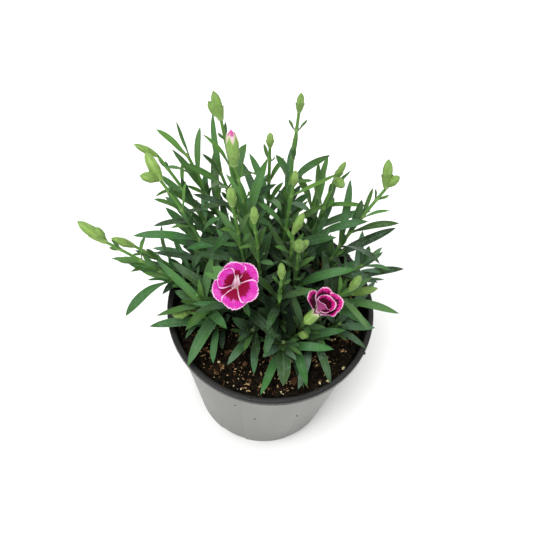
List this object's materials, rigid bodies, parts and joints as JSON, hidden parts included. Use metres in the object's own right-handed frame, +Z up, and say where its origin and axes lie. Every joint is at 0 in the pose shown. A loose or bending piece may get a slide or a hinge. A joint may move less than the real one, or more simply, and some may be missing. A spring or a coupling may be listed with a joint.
{
  "type": "potted dianthus plant",
  "caption": "Flowering dianthus plant with narrow leaves, closed buds and toothed petals, standing in soil in a round plastic nursery pot.",
  "frame": {"origin": "centre of the pot's flat foot, on the surface that it stands on", "axes": "+Z up along the pot's axis, -Y to the side that shows both flowers, +X to the right seen from there"},
  "size_m": [0.1871, 0.1336, 0.2337],
  "materials": {
    "pot": "satin",
    "soil": "matte",
    "leaf": "matte",
    "bud": "satin",
    "calyx": "satin",
    "petal": "matte"
  },
  "bodies": {
    "root": {"pot": "pot", "soil": "soil", "leafy_stem_01": "leaf", "bud_01": "bud", "leafy_stem_02": "leaf", "bud_02": "bud", "leafy_stem_03": "leaf", "bud_03": "bud", "leafy_stem_04": "leaf", "bud_04": "bud", "leafy_stem_05": "leaf", "bud_05": "bud", "leafy_stem_06": "leaf", "bud_06": "bud", "leafy_stem_07": "leaf", "bud_07": "bud", "leafy_stem_08": "leaf", "bud_08": "bud", "leafy_stem_09": "leaf", "bud_09": "bud", "leafy_stem_10": "leaf", "bud_10": "bud", "leafy_stem_11": "leaf", "bud_11": "bud", "leafy_stem_12": "leaf", "bud_12": "bud", "leafy_stem_13": "leaf", "bud_13": "bud", "leafy_stem_14": "leaf", "bud_14": "bud", "leafy_stem_15": "leaf", "bud_15": "bud", "leafy_stem_16": "leaf", "bud_16": "bud", "leafy_stem_17": "leaf", "bud_17": "bud", "leafy_stem_18": "leaf", "bud_18": "bud", "leafy_stem_19": "leaf", "bud_19": "bud", "leafy_stem_20": "leaf", "bud_20": "bud", "leafy_stem_21": "leaf", "flower_open_calyx": "calyx", "flower_open_petals": "petal", "leafy_stem_22": "leaf", "flower_half_calyx": "calyx", "flower_half_petals": "petal", "leafy_stem_23": "leaf", "leafy_stem_24": "leaf", "leafy_stem_25": "leaf", "leafy_stem_26": "leaf", "leafy_stem_27": "leaf", "leafy_stem_28": "leaf", "leafy_stem_29": "leaf", "leafy_stem_30": "leaf", "leafy_stem_31": "leaf", "leafy_stem_32": "leaf", "leafy_stem_33": "leaf"}
  },
  "joints": []
}
